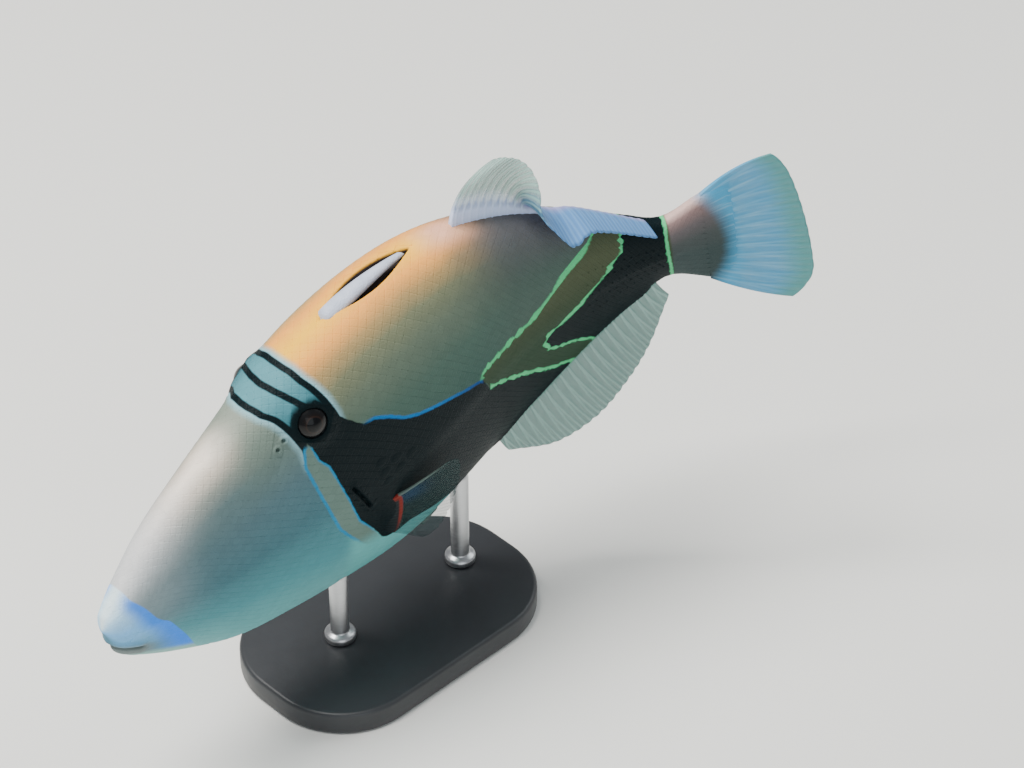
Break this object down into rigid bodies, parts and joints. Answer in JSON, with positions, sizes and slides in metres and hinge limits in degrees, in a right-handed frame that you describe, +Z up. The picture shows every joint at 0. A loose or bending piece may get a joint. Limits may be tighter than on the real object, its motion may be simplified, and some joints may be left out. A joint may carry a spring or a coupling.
{
  "type": "wedge-tail triggerfish museum model",
  "caption": "Life-size still model of a wedge-tail triggerfish, nose down with its tail swung to its left, on a flat base with two short rods.",
  "frame": {"origin": "middle of the underside of the stand's base", "axes": "+Z up from the base, -X towards the snout, -Y out of the fish's left side, to which the tail swings"},
  "size_m": [0.2071, 0.0682, 0.1378],
  "materials": {
    "skin": "scaled satin skin, painted",
    "tail_skin": "scaled satin skin, painted dark",
    "eye": "clear gloss",
    "spine": "satin bone",
    "fin": "thin, slightly translucent",
    "stand_base": "satin paint",
    "stand_rod": "brushed"
  },
  "bodies": {
    "root": {"head": "skin", "trunk": "skin", "tail_stem": "tail_skin", "eye_left": "eye", "eye_right": "eye", "first_dorsal_spines": "spine", "soft_dorsal_fin": "fin", "anal_fin": "fin", "caudal_fin": "fin", "pectoral_fin_left": "fin", "pectoral_fin_right": "fin", "pelvic_spine": "tail_skin", "stand_base": "stand_base", "stand_rod_front": "stand_rod", "stand_rod_rear": "stand_rod"}
  },
  "joints": []
}
